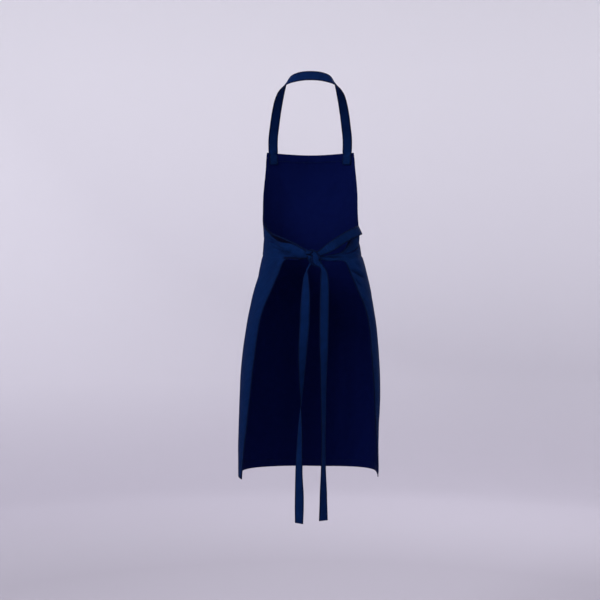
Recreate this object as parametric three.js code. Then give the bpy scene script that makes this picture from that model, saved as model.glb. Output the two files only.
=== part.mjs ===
import * as THREE from "three";

// A kitchen bib apron in cotton twill, in the shape it takes when it is worn and tied behind.
// Millimetres, +Z up. The origin is the top edge of the neck strap at the middle of the nape.
// The bib faces -Y and the knot +Y. The wearer's left is +X.

const neckDrop = 190; // top of the neck strap down to the bib's top edge
const bibLength = 288; // the bib's top edge down to the waist, where the knot sits
const skirtLength = 566; // waist down to the hem
const bibWidth = 250;
const waistWidth = 252; // across the hips of the tied waist, side to side
const hemWidth = 372;
const waistDepth = 200; // front to back of the tied waist
const hemDepth = 225;
const napeToMiddle = 65; // how far the nape lies behind the middle of the waist
const clothThickness = 1.2;
const strapWidth = 26;
const strapThickness = 1.4;
const sewnLength = 30; // of each neck strap end, below the bib's top edge
const seamGap = 0.5; // between the cloth and a strap sewn to it
const innerTieGap = 1.1; // between the cloth and the tie that runs inside it
const outerTieGap = 0.3; // between the cloth and the tie that runs outside it
const leftTailLength = 660; // knot to the free end
const rightTailLength = 652;
const knotWidth = 28;
const knotDepth = 21;
const knotHeight = 31;
const knotOffset = 9; // from the middle of the back towards the wearer's right
const strandGap = 1.7; // between two crossings of the ties in the knot
const halfTurns = 3; // crossings of the knot

const bibTop = -neckDrop;
const waist = bibTop - bibLength;
const strandHeight = (knotHeight - halfTurns * strandGap) / (halfTurns + 1);
const clothHalf = clothThickness / 2;
const strapHalf = strapThickness / 2;

const mix = (a, b, t) => a + (b - a) * t;
const smooth = (t) => t * t * (3 - 2 * t);
const clamp01 = (t) => Math.min(1, Math.max(0, t));

// A level is 0 at the bib's top edge, 1 at the waist and 2 at the hem.
const heightAt = (level) =>
  level < 1 ? bibTop - level * bibLength : waist - (level - 1) * skirtLength;
const halfWidthAt = (level) =>
  (level < 1 ? mix(bibWidth, waistWidth, level) : mix(waistWidth, hemWidth, level - 1)) / 2;
const halfDepthAt = (level) =>
  (level < 1 ? waistDepth : mix(waistDepth, hemDepth, level - 1)) / 2;

// One row for each line of weave across the panel, from the bib's top edge to the hem. Each line
// lies on an oval round the body. mid is its level at the middle of the front. leftEdge and
// rightEdge are the levels where it meets the panel's edges, and leftTurn and rightTurn how many
// degrees round the oval that is, with 0 at the front and 180 behind. leftHalf and rightHalf are
// the oval's half widths as shares of the named one, front and back its depths as shares of half
// the named one, and square its power: 2 is an ellipse. steps is how many grid rows lie before
// the next row of the table. Left is the wearer's left.
const sectionColumns = [
  "mid", "leftEdge", "rightEdge", "leftTurn", "rightTurn",
  "leftHalf", "rightHalf", "front", "back", "square", "steps",
];
const sectionRows = [
  [0.012, 0, 0, 41.4, 41.4, 1.416, 1.416, 1.12, 0.97, 2, 2],
  [0.17, 0.174, 0.174, 51.8, 51.8, 1.23, 1.23, 1.24, 0.97, 2, 2],
  [0.345, 0.38, 0.38, 64.2, 64.2, 1.11, 1.11, 1.26, 0.97, 2, 2],
  [0.485, 0.556, 0.556, 77.7, 77.7, 1.02, 1.025, 1.2, 0.97, 2, 3],
  [0.555, 0.67, 0.672, 93, 93, 0.985, 0.998, 1.155, 0.97, 2, 3],
  [0.604, 0.774, 0.806, 119, 119, 0.97, 0.99, 1.125, 0.97, 2, 3],
  [0.646, 0.858, 0.854, 138, 128.4, 0.966, 0.993, 1.1, 0.97, 2, 3],
  [0.688, 0.889, 0.95, 159.8, 141.8, 0.968, 1, 1.08, 0.97, 2, 2],
  [0.722, 0.975, 1.004, 177.4, 168.6, 0.97, 1.008, 1.065, 0.97, 2, 1],
  [0.771, 1.011, 1.011, 177.4, 168.6, 0.975, 1.025, 1.05, 0.97, 2, 1],
  [0.865, 1.011, 1.018, 165.1, 157.9, 0.984, 1.052, 1.035, 0.97, 2, 1],
  [0.976, 1.014, 1.021, 149.3, 141.7, 1, 1.09, 1.04, 0.97, 2, 2],
  [1.062, 1.083, 1.083, 143.9, 136.5, 1.04, 1.133, 1.07, 1, 2.1, 2],
  [1.131, 1.145, 1.145, 140.2, 132.4, 1.09, 1.165, 1.11, 1.03, 2.2, 2],
  [1.24, 1.246, 1.246, 133.4, 124.3, 1.138, 1.185, 1.18, 1.1, 2.4, 2],
  [1.337, 1.341, 1.341, 130.7, 120.6, 1.153, 1.18, 1.23, 1.12, 2.5, 2],
  [1.486, 1.489, 1.489, 131, 122.5, 1.153, 1.147, 1.28, 1.07, 2.7, 2],
  [1.629, 1.632, 1.632, 129.5, 121.5, 1.127, 1.101, 1.31, 1.06, 2.8, 3],
  [1.793, 1.795, 1.795, 124.2, 115.5, 1.08, 1.029, 1.31, 1.15, 2.9, 3],
  [2, 2, 1.995, 113, 103, 1.005, 0.949, 1.31, 1.3, 3, 0],
];
const sections = sectionRows.map((row) =>
  Object.fromEntries(sectionColumns.map((column, i) => [column, row[i]])),
);
const lastSection = sections.length - 1;
// Where the left tie comes over the wearer's left wing into the knot, the wing's top edge follows
// the knot's height.
sections[8].leftEdge = 1 - (knotHeight * 0.2323) / bibLength;

// Soft folds. across is where a fold runs, as a share of the way from the middle of the front to
// the panel's edge, at its first and last row of the section table. The wearer's left is
// positive. depth and halfWidth are shares of strapWidth, and a positive depth stands outwards.
const folds = [
  { first: 9.6, last: 14.4, acrossFirst: 0.8, acrossLast: 0.52, halfWidth: 0.8, depth: 0.13 },
  { first: 10.2, last: 14, acrossFirst: 0.95, acrossLast: 0.8, halfWidth: 0.7, depth: -0.08 },
  { first: 9.6, last: 14.4, acrossFirst: -0.76, acrossLast: -0.5, halfWidth: 0.8, depth: 0.14 },
  { first: 10.2, last: 14.5, acrossFirst: -0.93, acrossLast: -0.78, halfWidth: 0.7, depth: -0.09 },
  { first: 14, last: 19.6, acrossFirst: 0.3, acrossLast: 0.27, halfWidth: 0.9, depth: 0.2 },
  { first: 13, last: 19.6, acrossFirst: -0.14, acrossLast: -0.17, halfWidth: 0.8, depth: -0.22 },
  { first: 14, last: 19.6, acrossFirst: -0.5, acrossLast: -0.46, halfWidth: 0.9, depth: 0.18 },
  { first: 15, last: 19.6, acrossFirst: 0.68, acrossLast: 0.66, halfWidth: 0.9, depth: -0.16 },
];

const panelColumns = 22; // steps from the middle of the front to each edge
const ovalSteps = 90; // points that each half line is measured with

function catmull(a, b, c, d, t) {
  return (
    b +
    0.5 * t * (c - a + t * (2 * a - 5 * b + 4 * c - d + t * (3 * (b - c) + d - a)))
  );
}

// The section at any place between two rows of the table.
function sectionAt(row) {
  const i = Math.min(Math.floor(row), lastSection - 1);
  const at = (k) => sections[Math.min(lastSection, Math.max(0, k))];
  const section = {};
  for (const column of sectionColumns) {
    section[column] = catmull(
      at(i - 1)[column],
      at(i)[column],
      at(i + 1)[column],
      at(i + 2)[column],
      row - i,
    );
  }
  return section;
}

// A point of the oval of a section: turn in degrees, side 1 for the wearer's left.
function ovalPoint(section, level, turn, side) {
  const angle = THREE.MathUtils.degToRad(turn);
  const power = 2 / section.square;
  const half = (side > 0 ? section.leftHalf : section.rightHalf) * halfWidthAt(level);
  const depth = (turn < 90 ? -section.front : section.back) * halfDepthAt(level);
  return new THREE.Vector3(
    side * half * Math.sin(angle) ** power,
    depth * Math.abs(Math.cos(angle)) ** power - napeToMiddle,
    heightAt(level),
  );
}

// Half a line of weave as points from the middle of the front to the edge, with the length so far.
function halfLine(row, side) {
  const section = sectionAt(row);
  const edge = side > 0 ? section.leftEdge : section.rightEdge;
  const lastTurn = side > 0 ? section.leftTurn : section.rightTurn;
  const points = [];
  const lengths = [0];
  for (let i = 0; i <= ovalSteps; i++) {
    const t = i / ovalSteps;
    const level = mix(section.mid, edge, smooth(t));
    points.push(ovalPoint(section, level, lastTurn * t, side));
    if (i) lengths.push(lengths[i - 1] + points[i].distanceTo(points[i - 1]));
  }
  return { points, lengths };
}

function pointAlong({ points, lengths }, share) {
  const wanted = share * lengths.at(-1);
  let i = 1;
  while (i < points.length - 1 && lengths[i] < wanted) i++;
  const t = (wanted - lengths[i - 1]) / (lengths[i] - lengths[i - 1]);
  return points[i - 1].clone().lerp(points[i], t);
}

// How far the folds move a point of the cloth outwards.
function foldAt(row, across, halfLength) {
  let total = 0;
  for (const fold of folds) {
    const t = (row - fold.first) / (fold.last - fold.first);
    if (t <= 0 || t >= 1) continue;
    const middle = mix(fold.acrossFirst, fold.acrossLast, t);
    const away = ((across - middle) * halfLength) / (fold.halfWidth * strapWidth);
    const rise = Math.sin(Math.PI * clamp01(t)) ** 0.7;
    total += fold.depth * strapWidth * rise * Math.exp(-away * away);
  }
  return total;
}

// The middle of the cloth at a row of the section table and a share across, -1 to 1, and the
// direction that faces away from the body there.
function clothPoint(row, across) {
  const side = across < 0 ? -1 : 1;
  const step = 0.01;
  const line = halfLine(row, side);
  const share = Math.abs(across);
  const point = pointAlong(line, share);
  const along = pointAlong(line, Math.min(1, share + step))
    .sub(pointAlong(line, Math.max(0, share - step)))
    .multiplyScalar(side);
  const lowerRow = Math.min(lastSection, row + step);
  const upperRow = Math.max(0, row - step);
  const down = pointAlong(halfLine(lowerRow, side), share).sub(
    pointAlong(halfLine(upperRow, side), share),
  );
  const outward = down.clone().cross(along).normalize();
  point.addScaledVector(outward, foldAt(row, across, line.lengths.at(-1)));
  return { point, outward, along: along.normalize(), down: down.normalize() };
}

// A closed solid from a grid of points on each of its two faces.
function shellGeometry(outer, inner) {
  const rows = outer.length;
  const columns = outer[0].length;
  const positions = [];
  const index = [];
  for (const face of [outer, inner]) {
    for (const line of face) line.forEach((p) => positions.push(p.x, p.y, p.z));
  }
  const at = (face, row, column) => face * rows * columns + row * columns + column;
  const quad = (a, b, c, d, shortFirst = true) => {
    if (shortFirst) index.push(a, b, c, a, c, d);
    else index.push(b, c, d, b, d, a);
  };
  for (let r = 0; r < rows - 1; r++) {
    for (let c = 0; c < columns - 1; c++) {
      const falling = outer[r][c].distanceTo(outer[r + 1][c + 1]);
      const rising = outer[r + 1][c].distanceTo(outer[r][c + 1]);
      const split = falling <= rising;
      quad(at(0, r, c), at(0, r + 1, c), at(0, r + 1, c + 1), at(0, r, c + 1), split);
      quad(at(1, r, c), at(1, r, c + 1), at(1, r + 1, c + 1), at(1, r + 1, c), split);
    }
  }
  for (let c = 0; c < columns - 1; c++) {
    quad(at(0, 0, c), at(0, 0, c + 1), at(1, 0, c + 1), at(1, 0, c));
    quad(at(0, rows - 1, c + 1), at(0, rows - 1, c), at(1, rows - 1, c), at(1, rows - 1, c + 1));
  }
  for (let r = 0; r < rows - 1; r++) {
    quad(at(0, r + 1, 0), at(0, r, 0), at(1, r, 0), at(1, r + 1, 0));
    const last = columns - 1;
    quad(at(0, r, last), at(0, r + 1, last), at(1, r + 1, last), at(1, r, last));
  }
  const geometry = new THREE.BufferGeometry();
  geometry.setAttribute("position", new THREE.Float32BufferAttribute(positions, 3));
  geometry.setIndex(index);
  geometry.computeVertexNormals();
  return geometry;
}

function panelGeometry() {
  const rows = sections.flatMap(({ steps }, row) =>
    Array.from({ length: steps || 1 }, (_, i) => row + i / (steps || 1)),
  );
  const outer = [];
  const inner = [];
  for (const row of rows) {
    const points = [];
    for (let c = -panelColumns; c <= panelColumns; c++) {
      points.push(clothPoint(row, c / panelColumns));
    }
    const face = (offset) =>
      points.map(({ point, outward }) => point.clone().addScaledVector(outward, offset));
    outer.push(face(clothHalf));
    inner.push(face(-clothHalf));
  }
  return shellGeometry(outer, inner);
}

// A strap through a list of stations. Each has a point, the direction across the strap, and
// its width and thickness there. perSpan steps lie between two stations.
function strapGeometry(stations, perSpan) {
  const at = (k) => stations[Math.min(stations.length - 1, Math.max(0, k))];
  const curve = new THREE.CatmullRomCurve3(stations.map(({ point }) => point));
  const spans = stations.length - 1;
  const top = [];
  const bottom = [];
  for (let i = 0; i <= spans * perSpan; i++) {
    const k = Math.min(Math.floor(i / perSpan), spans - 1);
    const t = i / perSpan - k;
    const point = curve.getPoint(i / (spans * perSpan));
    const tangent = curve.getTangent(i / (spans * perSpan));
    const across = at(k).across.clone().lerp(at(k + 1).across, t);
    across.addScaledVector(tangent, -across.dot(tangent)).normalize();
    const facing = tangent.clone().cross(across).normalize();
    const halfWidth = mix(at(k).width, at(k + 1).width, smooth(t)) / 2;
    const halfThickness = mix(at(k).thickness, at(k + 1).thickness, smooth(t)) / 2;
    const corner = (a, f) =>
      point.clone().addScaledVector(across, a * halfWidth).addScaledVector(facing, f * halfThickness);
    top.push([corner(-1, 1), corner(1, 1)]);
    bottom.push([corner(-1, -1), corner(1, -1)]);
  }
  return shellGeometry(top, bottom);
}

const station = (point, across, width = strapWidth, thickness = strapThickness) => ({
  point,
  across: across.normalize(),
  width,
  thickness,
});

// The neck strap from the nape to the bib's top edge, on one side. out is a share of half the
// bib's width, forward of the way from the nape to the bib, down of neckDrop. lean turns the
// strap from upright, at 0 degrees, to lying flat across the shoulder, at 90.
const neckRoute = [
  { out: 0, forward: 0, down: 0, lean: 15 },
  { out: 0.24, forward: 0.026, down: 0.011, lean: 18 },
  { out: 0.42, forward: 0.104, down: 0.042, lean: 26 },
  { out: 0.535, forward: 0.227, down: 0.1, lean: 42 },
  { out: 0.605, forward: 0.37, down: 0.178, lean: 58 },
  { out: 0.665, forward: 0.52, down: 0.295, lean: 72 },
  { out: 0.72, forward: 0.675, down: 0.455, lean: 82 },
  { out: 0.765, forward: 0.805, down: 0.64, lean: 88 },
  { out: 0.8, forward: 0.92, down: 0.82, lean: 90 },
];
const cornerInset = 5; // from the bib's corner to the strap's outer edge

function neckStrapStations() {
  const inward = -(clothHalf + seamGap + strapHalf);
  const halfLength = halfLine(0, 1).lengths.at(-1);
  const across = (halfLength - cornerInset - strapWidth / 2) / halfLength;
  const halfAcross = strapWidth / 2 / halfLength;
  const sewnRows = sewnLength / ((sections[1].mid - sections[0].mid) * bibLength);
  const bibReach = clothPoint(0, across).point.y;
  const lift = strapWidth / 2;
  const half = (side) => {
    const stations = neckRoute.map(({ out, forward, down, lean }, i) => {
      const next = neckRoute[Math.min(i + 1, neckRoute.length - 1)];
      const last = neckRoute[Math.max(i - 1, 0)];
      const heading = new THREE.Vector3(
        side * (next.out - last.out) * (bibWidth / 2),
        (next.forward - last.forward) * bibReach,
        0,
      ).normalize();
      const outward = new THREE.Vector3(-side * heading.y, side * heading.x, 0);
      if (!i) outward.set(0, 1, 0);
      const angle = THREE.MathUtils.degToRad(lean);
      const direction = outward.multiplyScalar(Math.sin(angle)).setZ(-Math.cos(angle));
      const point = new THREE.Vector3(
        side * out * (bibWidth / 2),
        forward * bibReach,
        -down * neckDrop - lift * Math.cos(angle),
      );
      return station(point, direction);
    });
    for (const share of [0, 0.5, 1]) {
      const inner = clothPoint(share * sewnRows, side * (across - halfAcross));
      const outer = clothPoint(share * sewnRows, side * (across + halfAcross));
      const direction = outer.point.clone().sub(inner.point);
      const point = inner.point.clone().lerp(outer.point, 0.5);
      point.addScaledVector(inner.outward.add(outer.outward).normalize(), inward);
      stations.push(station(point, direction));
    }
    return stations;
  };
  return [...half(-1).reverse(), ...half(1).slice(1)];
}

// The stretch of a tie from its sewn end round to the knot. turn is as in the section table and
// level as above. bunch is 0 where the strap is flat and 1 where it is as narrow as in the knot.
const leftWaistRoute = [
  { turn: 88, level: 0.715, bunch: 0 },
  { turn: 100, level: 0.75, bunch: 0 },
  { turn: 119, level: 0.815, bunch: 0 },
  { turn: 134, level: 0.848, bunch: 0 },
  { turn: 149, level: 0.887, bunch: 0.02 },
  { turn: 158, level: 0.917, bunch: 0.15 },
];
const rightWaistRoute = [
  { turn: 93, level: 0.732, bunch: 0 },
  { turn: 102, level: 0.747, bunch: 0 },
  { turn: 112, level: 0.768, bunch: 0 },
  { turn: 124, level: 0.795, bunch: 0 },
  { turn: 138.5, level: 0.838, bunch: 0 },
  { turn: 148.5, level: 0.872, bunch: 0 },
  { turn: 158.5, level: 0.92, bunch: 0.12 },
];
// The last stretch into the knot, as shares of the knot's width, depth and height from its middle:
// out is towards the wearer's left, back away from the body.
const leftEntry = [
  { out: 1.157, back: -0.869, up: 0.66, bunch: 0.5 },
  { out: 0.686, back: -0.731, up: 0.64, bunch: 0.85 },
  { out: 0.429, back: -0.366, up: 0.615, bunch: 1 },
];
const rightEntry = [
  { out: -0.986, back: -0.457, up: 0.7, bunch: 0.4 },
  { out: -0.643, back: -0.297, up: 0.6, bunch: 0.85 },
];
const tieRow = { left: 6, right: 7.2 }; // the section whose oval each tie follows
const knotRadius = {
  x: (knotWidth - strandHeight) / 2,
  y: (knotDepth - strandHeight) / 2,
};

function waistStations(route, side, row, outside) {
  const section = sectionAt(row);
  const place = ({ turn, level, bunch }) => {
    const thickness = mix(strapThickness, strandHeight, bunch);
    const gap = outside > 0 ? outerTieGap : innerTieGap;
    const away = outside * (clothHalf + gap + thickness / 2);
    const point = ovalPoint(section, level, turn, side);
    const angle = THREE.MathUtils.degToRad(turn);
    const outward = new THREE.Vector3(side * Math.sin(angle), -Math.cos(angle), 0);
    return point.addScaledVector(outward, away);
  };
  return route.map((stop, i) => {
    const next = route[Math.min(i + 1, route.length - 1)];
    const last = route[Math.max(i - 1, 0)];
    const tangent = place(next).sub(place(last)).normalize();
    const up = new THREE.Vector3(0, 0, 1).addScaledVector(tangent, -tangent.z);
    return station(
      place(stop),
      up,
      mix(strapWidth, strandHeight, stop.bunch),
      mix(strapThickness, strandHeight, stop.bunch),
    );
  });
}

const backOfWaist = sections[8].back * halfDepthAt(1) - napeToMiddle;
const knotCentre = new THREE.Vector3(
  -knotOffset,
  backOfWaist + knotRadius.y + strandHeight / 2 - clothHalf,
  waist,
);
const lastKnotAngle = 490; // degrees that each tie turns in the knot
const knotStep = 35;
const rightTieLag = 50; // degrees of the first turn that the right tie skips
const knotRise = (knotHeight - strandHeight) / (halfTurns * 180); // drop of a tie for each degree

function entryStations(route) {
  return route.map(({ out, back, up, bunch }) => {
    const point = new THREE.Vector3(
      knotCentre.x + out * knotWidth,
      knotCentre.y + back * knotDepth,
      knotCentre.z + up * (knotHeight - strandHeight),
    );
    const thickness = mix(strapThickness, strandHeight, bunch);
    return station(point, new THREE.Vector3(0, 0, 1), mix(strapWidth, strandHeight, bunch), thickness);
  });
}

// The turns of one tie in the knot. start is 0 for the left tie and 180 for the right one, and
// skip the degrees of its first turn that are left out.
function knotStations(start, skip) {
  const up = new THREE.Vector3(0, 0, 1);
  const stations = [];
  for (let angle = skip; angle <= lastKnotAngle; angle += knotStep) {
    const around = THREE.MathUtils.degToRad(start + angle);
    const point = new THREE.Vector3(
      knotCentre.x + knotRadius.x * Math.cos(around),
      knotCentre.y + knotRadius.y * Math.sin(around),
      knotCentre.z + (knotHeight - strandHeight) / 2 - knotRise * angle,
    );
    stations.push(station(point, up.clone(), strandHeight, strandHeight));
  }
  return stations;
}

// The hanging tails. down is a share of the tail's length, out and back are shares of the knot's
// width and depth as above. twist is in degrees from facing straight back, and open is 0 as
// bunched in the knot and 1 flat.
const tailFromLeftTie = [
  { down: 0.012, out: -0.429, back: 0.366, twist: 4, open: 0.06 },
  { down: 0.03, out: -0.789, back: 0.343, twist: 8, open: 0.25 },
  { down: 0.062, out: -0.943, back: 0.343, twist: 12, open: 0.62 },
  { down: 0.105, out: -0.969, back: 0.411, twist: 14, open: 0.9 },
  { down: 0.17, out: -0.943, back: 0.48, twist: 16, open: 1 },
  { down: 0.32, out: -0.909, back: 0.571, twist: 24, open: 1 },
  { down: 0.46, out: -0.874, back: 0.571, twist: 46, open: 1 },
  { down: 0.57, out: -0.857, back: 0.571, twist: 58, open: 1 },
  { down: 0.67, out: -0.849, back: 0.571, twist: 66, open: 1 },
  { down: 0.79, out: -0.84, back: 0.571, twist: 60, open: 1 },
  { down: 0.89, out: -0.84, back: 0.571, twist: 44, open: 1 },
  { down: 1, out: -0.831, back: 0.571, twist: 28, open: 1 },
];
const tailFromRightTie = [
  { down: 0.006, out: 0.377, back: 0, twist: -38, open: 0.05 },
  { down: 0.022, out: 0.531, back: 0.16, twist: -64, open: 0.16 },
  { down: 0.042, out: 0.651, back: 0.274, twist: -74, open: 0.4 },
  { down: 0.068, out: 0.72, back: 0.343, twist: -56, open: 0.7 },
  { down: 0.1, out: 0.737, back: 0.389, twist: -40, open: 0.9 },
  { down: 0.15, out: 0.763, back: 0.457, twist: -22, open: 1 },
  { down: 0.22, out: 0.84, back: 0.526, twist: 0, open: 1 },
  { down: 0.32, out: 0.986, back: 0.571, twist: 20, open: 1 },
  { down: 0.41, out: 1.089, back: 0.571, twist: 44, open: 1 },
  { down: 0.49, out: 1.149, back: 0.571, twist: 66, open: 1 },
  { down: 0.56, out: 1.174, back: 0.571, twist: 88, open: 1 },
  { down: 0.66, out: 1.251, back: 0.571, twist: 112, open: 1 },
  { down: 0.75, out: 1.337, back: 0.571, twist: 126, open: 1 },
  { down: 0.86, out: 1.354, back: 0.571, twist: 144, open: 1 },
  { down: 0.94, out: 1.346, back: 0.571, twist: 150, open: 1 },
  { down: 1, out: 1.354, back: 0.571, twist: 142, open: 1 },
];

function tailStations(route, length, facing) {
  const top = knotCentre.z - (knotHeight - strandHeight) / 2;
  return route.map(({ down, out, back, twist, open }) => {
    const angle = THREE.MathUtils.degToRad(twist);
    const point = new THREE.Vector3(
      knotCentre.x + out * knotWidth,
      knotCentre.y + back * knotDepth,
      top - down * length,
    );
    const across = new THREE.Vector3(Math.cos(angle), Math.sin(angle), 0).multiplyScalar(facing);
    return station(
      point,
      across,
      mix(strandHeight, strapWidth, open),
      mix(strandHeight, strapThickness, open),
    );
  });
}

function leftTieStations() {
  const waistPart = waistStations(leftWaistRoute, 1, tieRow.left, -1);
  const tail = tailStations(tailFromLeftTie, rightTailLength, -1);
  return [...waistPart, ...entryStations(leftEntry), ...knotStations(0, 0), ...tail];
}

function rightTieStations() {
  const waistPart = waistStations(rightWaistRoute, -1, tieRow.right, 1);
  const tail = tailStations(tailFromRightTie, leftTailLength, 1);
  return [...waistPart, ...entryStations(rightEntry), ...knotStations(180, rightTieLag), ...tail];
}

const navyTwill = { color: 0x0b1f45, roughness: 0.9, metalness: 0, side: THREE.DoubleSide };

function piece(name, geometry) {
  const mesh = new THREE.Mesh(geometry, new THREE.MeshStandardMaterial(navyTwill));
  mesh.name = name;
  return mesh;
}

const apron = new THREE.Group();
apron.add(
  piece("apron_panel", panelGeometry()),
  piece("neck_strap", strapGeometry(neckStrapStations(), 2)),
  piece("waist_tie_left", strapGeometry(leftTieStations(), 2)),
  piece("waist_tie_right", strapGeometry(rightTieStations(), 2)),
);

export default apron;
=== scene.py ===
import math

import bpy
import numpy as np
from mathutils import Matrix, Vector, noise
from mathutils.bvhtree import BVHTree


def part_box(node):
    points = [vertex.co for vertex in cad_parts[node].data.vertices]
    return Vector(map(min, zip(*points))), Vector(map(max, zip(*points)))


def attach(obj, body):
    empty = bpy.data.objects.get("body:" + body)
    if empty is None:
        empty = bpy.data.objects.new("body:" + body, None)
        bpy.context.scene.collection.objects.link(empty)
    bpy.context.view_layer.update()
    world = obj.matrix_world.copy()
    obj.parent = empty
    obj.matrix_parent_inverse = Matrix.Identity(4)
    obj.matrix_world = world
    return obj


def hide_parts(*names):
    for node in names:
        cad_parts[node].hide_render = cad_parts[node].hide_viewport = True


# A navy kitchen bib apron as it hangs when it is worn and tied behind, seen from the back.
# Metres, +Z up, the wearer's left is +X and the knot is on the +Y side.

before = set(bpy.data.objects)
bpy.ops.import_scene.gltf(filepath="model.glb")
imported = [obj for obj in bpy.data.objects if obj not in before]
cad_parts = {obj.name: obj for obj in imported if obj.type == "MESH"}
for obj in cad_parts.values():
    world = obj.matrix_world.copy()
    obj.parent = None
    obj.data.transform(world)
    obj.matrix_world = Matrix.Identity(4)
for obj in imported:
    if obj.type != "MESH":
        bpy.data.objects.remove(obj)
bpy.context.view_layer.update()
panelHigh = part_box("apron_panel")[1]
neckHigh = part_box("neck_strap")[1]


# Camera.
cameraSetup = {
    "place": (0.0275, 2.735, -0.587),  # level with the skirt's top, straight behind
    "lens": 64.1,
}
bpy.ops.object.camera_add(location=cameraSetup["place"], rotation=(math.pi / 2, 0, math.pi))
camera = bpy.context.object
camera.data.lens = cameraSetup["lens"]
camera.data.sensor_width = 36
bpy.context.scene.camera = camera
print("camera placed")


# Small helpers.
def mix(a, b, t):
    return a + (b - a) * t


def smooth(t):
    t = np.clip(t, 0, 1)
    return t * t * (3 - 2 * t)


def unit(v):
    length = np.linalg.norm(v, axis=-1, keepdims=True)
    return v / np.maximum(length, 1e-12)


def makeObject(name, points, faces, uv=None, shade=None, wrongSideAndShade=None):
    mesh = bpy.data.meshes.new(name)
    mesh.from_pydata([tuple(p) for p in points], [], faces)
    mesh.polygons.foreach_set("use_smooth", [True] * len(mesh.polygons))
    corner = np.empty(len(mesh.loops), int)
    mesh.loops.foreach_get("vertex_index", corner)
    if uv is not None:
        layer = mesh.uv_layers.new(name="clothUV")
        layer.data.foreach_set("uv", np.asarray(uv)[corner].ravel())
    for label, values in (("shade", shade), ("wrongSideAndShade", wrongSideAndShade)):
        if values is not None:
            layer = mesh.attributes.new(label, "FLOAT", "POINT")
            layer.data.foreach_set("value", np.clip(np.asarray(values, float), 0, 1))
    mesh.update()
    made = bpy.data.objects.new(name, mesh)
    bpy.context.scene.collection.objects.link(made)
    return made


def lengthsAlong(points):
    steps = np.linalg.norm(np.diff(points, axis=0), axis=1)
    return np.concatenate([[0], np.cumsum(steps)])


# The quads between the points of a grid, as rows of four indices, facing either way.
def gridQuads(index, flipped=False):
    a, b = index[:-1, :-1].ravel(), index[1:, :-1].ravel()
    c, d = index[1:, 1:].ravel(), index[:-1, 1:].ravel()
    return np.stack([a, d, c, b] if flipped else [a, b, c, d], 1)


# Cubic interpolation of rows of values through uneven stops, with no overshoot to speak of.
def throughStops(stops, values, at):
    stops, values, at = np.asarray(stops, float), np.asarray(values, float), np.asarray(at, float)
    slopes = np.gradient(values, stops, axis=0)
    i = np.clip(np.searchsorted(stops, at, side="right") - 1, 0, len(stops) - 2)
    span = stops[i + 1] - stops[i]
    t = (at - stops[i]) / span
    if values.ndim > 1:
        span, t = span[:, None], t[:, None]
    leave = (2 * t**3 - 3 * t**2 + 1) * values[i] + (t**3 - 2 * t**2 + t) * span * slopes[i]
    arrive = (-2 * t**3 + 3 * t**2) * values[i + 1] + (t**3 - t**2) * span * slopes[i + 1]
    return leave + arrive


# The panel's drape.
panel = {
    "bibLength": 0.288,
    "skirtLength": 0.566,
    "bibWidth": 0.250,
    "waistWidth": 0.252,
    "hemWidth": 0.372,
    "waistDepth": 0.200,
    "hemDepth": 0.225,
    "napeToMiddle": 0.065,
    "thickness": 0.0010,
    "sideHem": 0.010,
    "endHem": 0.020,
    "hemExtra": 0.0009,  # the turned cloth, on the inside
    "hemEase": 0.0009,
    "seamInset": 0.0014,  # from the turned cloth's own edge
    "seamHalfWidth": 0.0007,
    "seamDepths": (0.00025, 0.0003),  # in the outer and the inner face
    "spacing": 0.0042,  # of the mesh
}
bibTop = panelHigh.z
waistHeight = bibTop - panel["bibLength"]
knotCentre = np.array([-0.009, 0.0415, waistHeight])

# One row for each line of weave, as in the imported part. mid is its level at the middle of the
# front, with 0 at the bib's top edge, 1 at the waist and 2 at the hem. The edges are where the
# line ends, as levels and as degrees round the body. The halves and depths are shares.
sectionColumns = (
    "mid", "leftEdge", "rightEdge", "leftTurn", "rightTurn",
    "leftHalf", "rightHalf", "front", "back", "square",
)
sectionRows = np.array([
    (0.012, 0, 0, 41.4, 41.4, 1.416, 1.416, 1.12, 0.97, 2),
    (0.17, 0.174, 0.174, 51.8, 51.8, 1.23, 1.23, 1.24, 0.97, 2),
    (0.345, 0.38, 0.38, 64.2, 64.2, 1.11, 1.11, 1.26, 0.97, 2),
    (0.485, 0.556, 0.556, 77.7, 77.7, 1.02, 1.025, 1.2, 0.97, 2),
    (0.555, 0.67, 0.672, 93, 93, 0.985, 0.998, 1.155, 0.97, 2),
    (0.604, 0.774, 0.806, 119, 119, 0.97, 0.99, 1.125, 0.97, 2),
    (0.646, 0.858, 0.854, 138, 128.4, 0.966, 0.993, 1.1, 0.97, 2),
    (0.688, 0.889, 0.953, 159.8, 141.8, 0.968, 1, 1.08, 0.97, 2),
    (0.722, 0.975, 1.004, 179, 174, 0.97, 1.008, 1.065, 0.97, 2),
    (0.771, 1.004, 1.011, 179, 174, 0.975, 1.025, 1.05, 0.97, 2),
    (0.865, 1.011, 1.018, 165.1, 157.9, 0.984, 1.052, 1.035, 0.97, 2),
    (0.976, 1.014, 1.021, 149.3, 141.7, 1, 1.09, 1.04, 0.97, 2),
    (1.062, 1.083, 1.083, 143.9, 136.5, 1.04, 1.133, 1.07, 1, 2.1),
    (1.131, 1.145, 1.145, 140.2, 132.4, 1.09, 1.165, 1.11, 1.03, 2.2),
    (1.24, 1.246, 1.246, 133.4, 124.3, 1.138, 1.185, 1.18, 1.1, 2.4),
    (1.337, 1.341, 1.341, 130.7, 120.6, 1.153, 1.18, 1.23, 1.12, 2.5),
    (1.486, 1.489, 1.489, 131, 122.5, 1.153, 1.147, 1.28, 1.07, 2.7),
    (1.629, 1.632, 1.632, 129.5, 121.5, 1.127, 1.101, 1.31, 1.06, 2.8),
    (1.793, 1.795, 1.795, 124.2, 115.5, 1.08, 1.029, 1.31, 1.15, 2.9),
    (2, 2, 1.995, 113, 103, 1.005, 0.949, 1.31, 1.3, 3),
])
lastRow = len(sectionRows) - 1
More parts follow.
